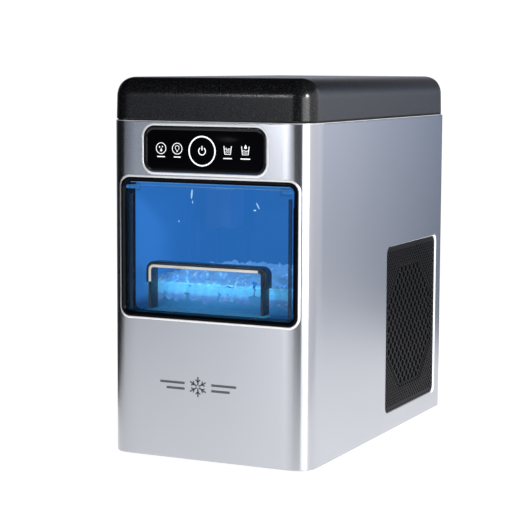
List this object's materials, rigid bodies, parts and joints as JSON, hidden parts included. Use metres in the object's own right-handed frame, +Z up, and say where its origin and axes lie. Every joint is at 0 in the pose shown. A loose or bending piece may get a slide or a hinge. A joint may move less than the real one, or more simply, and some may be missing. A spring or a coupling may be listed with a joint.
{
  "type": "countertop ice maker",
  "caption": "Compact countertop nugget ice maker with steel wrap casing, black lid, touch panel, flip-up clear window, pull-out ice basket and a side air grille.",
  "frame": {"origin": "centre of the footprint at the level of the feet's undersides", "axes": "+Z up, front with the window towards -Y, +X to the viewer's right when facing the front"},
  "size_m": [0.1854, 0.3226, 0.3251],
  "materials": {
    "wrap_steel": "satin, fine upright brushing",
    "case_black": "fine spark texture",
    "gloss_black": "polished",
    "window_clear": "clear acrylic",
    "liner_blue": "satin, lit blue from above",
    "basket_clear": "clear, lit blue",
    "handle_smoke": "smoked, polished",
    "rubber_black": "moulded",
    "screw_steel": "zinc plated",
    "galvanised": "galvanised sheet",
    "tank_plastic": "translucent natural plastic",
    "copper_tube": "drawn copper",
    "freezer_steel": "turned stainless",
    "fin_aluminium": "mill finish",
    "gear_brass": "machined",
    "board_green": "solder mask",
    "foam_dark": "closed-cell foam",
    "machine_black": "semi-gloss paint",
    "inner_black": "moulded",
    "fan_white": "moulded",
    "light_lens": "frosted, lit",
    "filter_mesh": "nylon mesh"
  },
  "bodies": {
    "root": {"casing_wrap": "wrap_steel", "rear_cover": "case_black", "base_tray": "case_black", "base_plate": "galvanised", "feet": "rubber_black", "foot_screws": "screw_steel", "top_lid": "case_black", "top_rails": "galvanised", "lid_screws": "screw_steel", "window_bezel": "case_black", "panel_bezel": "gloss_black", "touch_panel": "gloss_black", "display_board": "board_green", "hinge_pins": "screw_steel", "side_grille": "case_black", "air_filter": "filter_mesh", "chamber_liner": "liner_blue", "ice_chute": "liner_blue", "chamber_light": "light_lens", "ice_level_sensor": "inner_black", "water_tank": "tank_plastic", "tank_cover": "tank_plastic", "water_level_probe": "screw_steel", "pump_body": "inner_black", "pump_motor": "machine_black", "suction_hose": "tank_plastic", "feed_hose": "tank_plastic", "drain_hose": "tank_plastic", "drain_port": "inner_black", "evaporator": "freezer_steel", "insulation": "foam_dark", "auger_bearings": "screw_steel", "shaft_seal": "rubber_black", "extruder_head": "freezer_steel", "gearbox_housing": "fin_aluminium", "gearbox_cover": "fin_aluminium", "gear_motor": "machine_black", "unit_bracket": "galvanised", "compressor": "machine_black", "compressor_mounts": "rubber_black", "compressor_bolts": "screw_steel", "condenser": "fin_aluminium", "fan_shroud": "inner_black", "fan_motor": "machine_black", "filter_drier": "copper_tube", "refrigerant_lines": "copper_tube", "control_box": "tank_plastic", "control_board": "board_green", "power_inlet": "inner_black", "rear_screws": "screw_steel"},
    "door": {"window_door": "window_clear"},
    "basket": {"ice_basket": "basket_clear", "basket_handle": "handle_smoke", "handle_grip": "handle_smoke"},
    "auger_drive": {"auger": "freezer_steel", "drive_gear": "gear_brass"},
    "pinion": {"motor_pinion": "gear_brass"},
    "pump_rotor": {"pump_impeller": "fan_white"},
    "fan": {"fan_rotor": "fan_white"},
    "plug": {"drain_plug": "rubber_black"}
  },
  "joints": [
    {"name": "door_hinge", "type": "hinge", "parent": "root", "child": "door", "pos_m": [0, -0.1573, 0.2335], "axis": [-1, 0, 0], "range_deg": [0, 95]},
    {"name": "basket_slide", "type": "slide", "parent": "root", "child": "basket", "axis": [0, -1, 0], "range_m": [0, 0.1]},
    {"name": "auger_spin", "type": "hinge", "parent": "root", "child": "auger_drive", "pos_m": [-0.039, 0.01, 0.15], "axis": [0, 0, 1], "continuous": true},
    {"name": "pinion_spin", "type": "hinge", "parent": "root", "child": "pinion", "pos_m": [-0.009, 0.01, 0.09], "axis": [0, 0, 1], "continuous": true},
    {"name": "pump_spin", "type": "hinge", "parent": "root", "child": "pump_rotor", "pos_m": [0.05, 0, 0.025], "axis": [0, 0, 1], "continuous": true},
    {"name": "fan_spin", "type": "hinge", "parent": "root", "child": "fan", "pos_m": [0.056, 0.075, 0.098], "axis": [1, 0, 0], "continuous": true},
    {"name": "plug_pull", "type": "slide", "parent": "root", "child": "plug", "axis": [0, 1, 0], "range_m": [0, 0.03]}
  ],
  "couplings": [
    {"joint": "basket_slide", "follows": "door_hinge", "m_per_rad": 0.06},
    {"joint": "pinion_spin", "follows": "auger_spin", "ratio": -4}
  ]
}
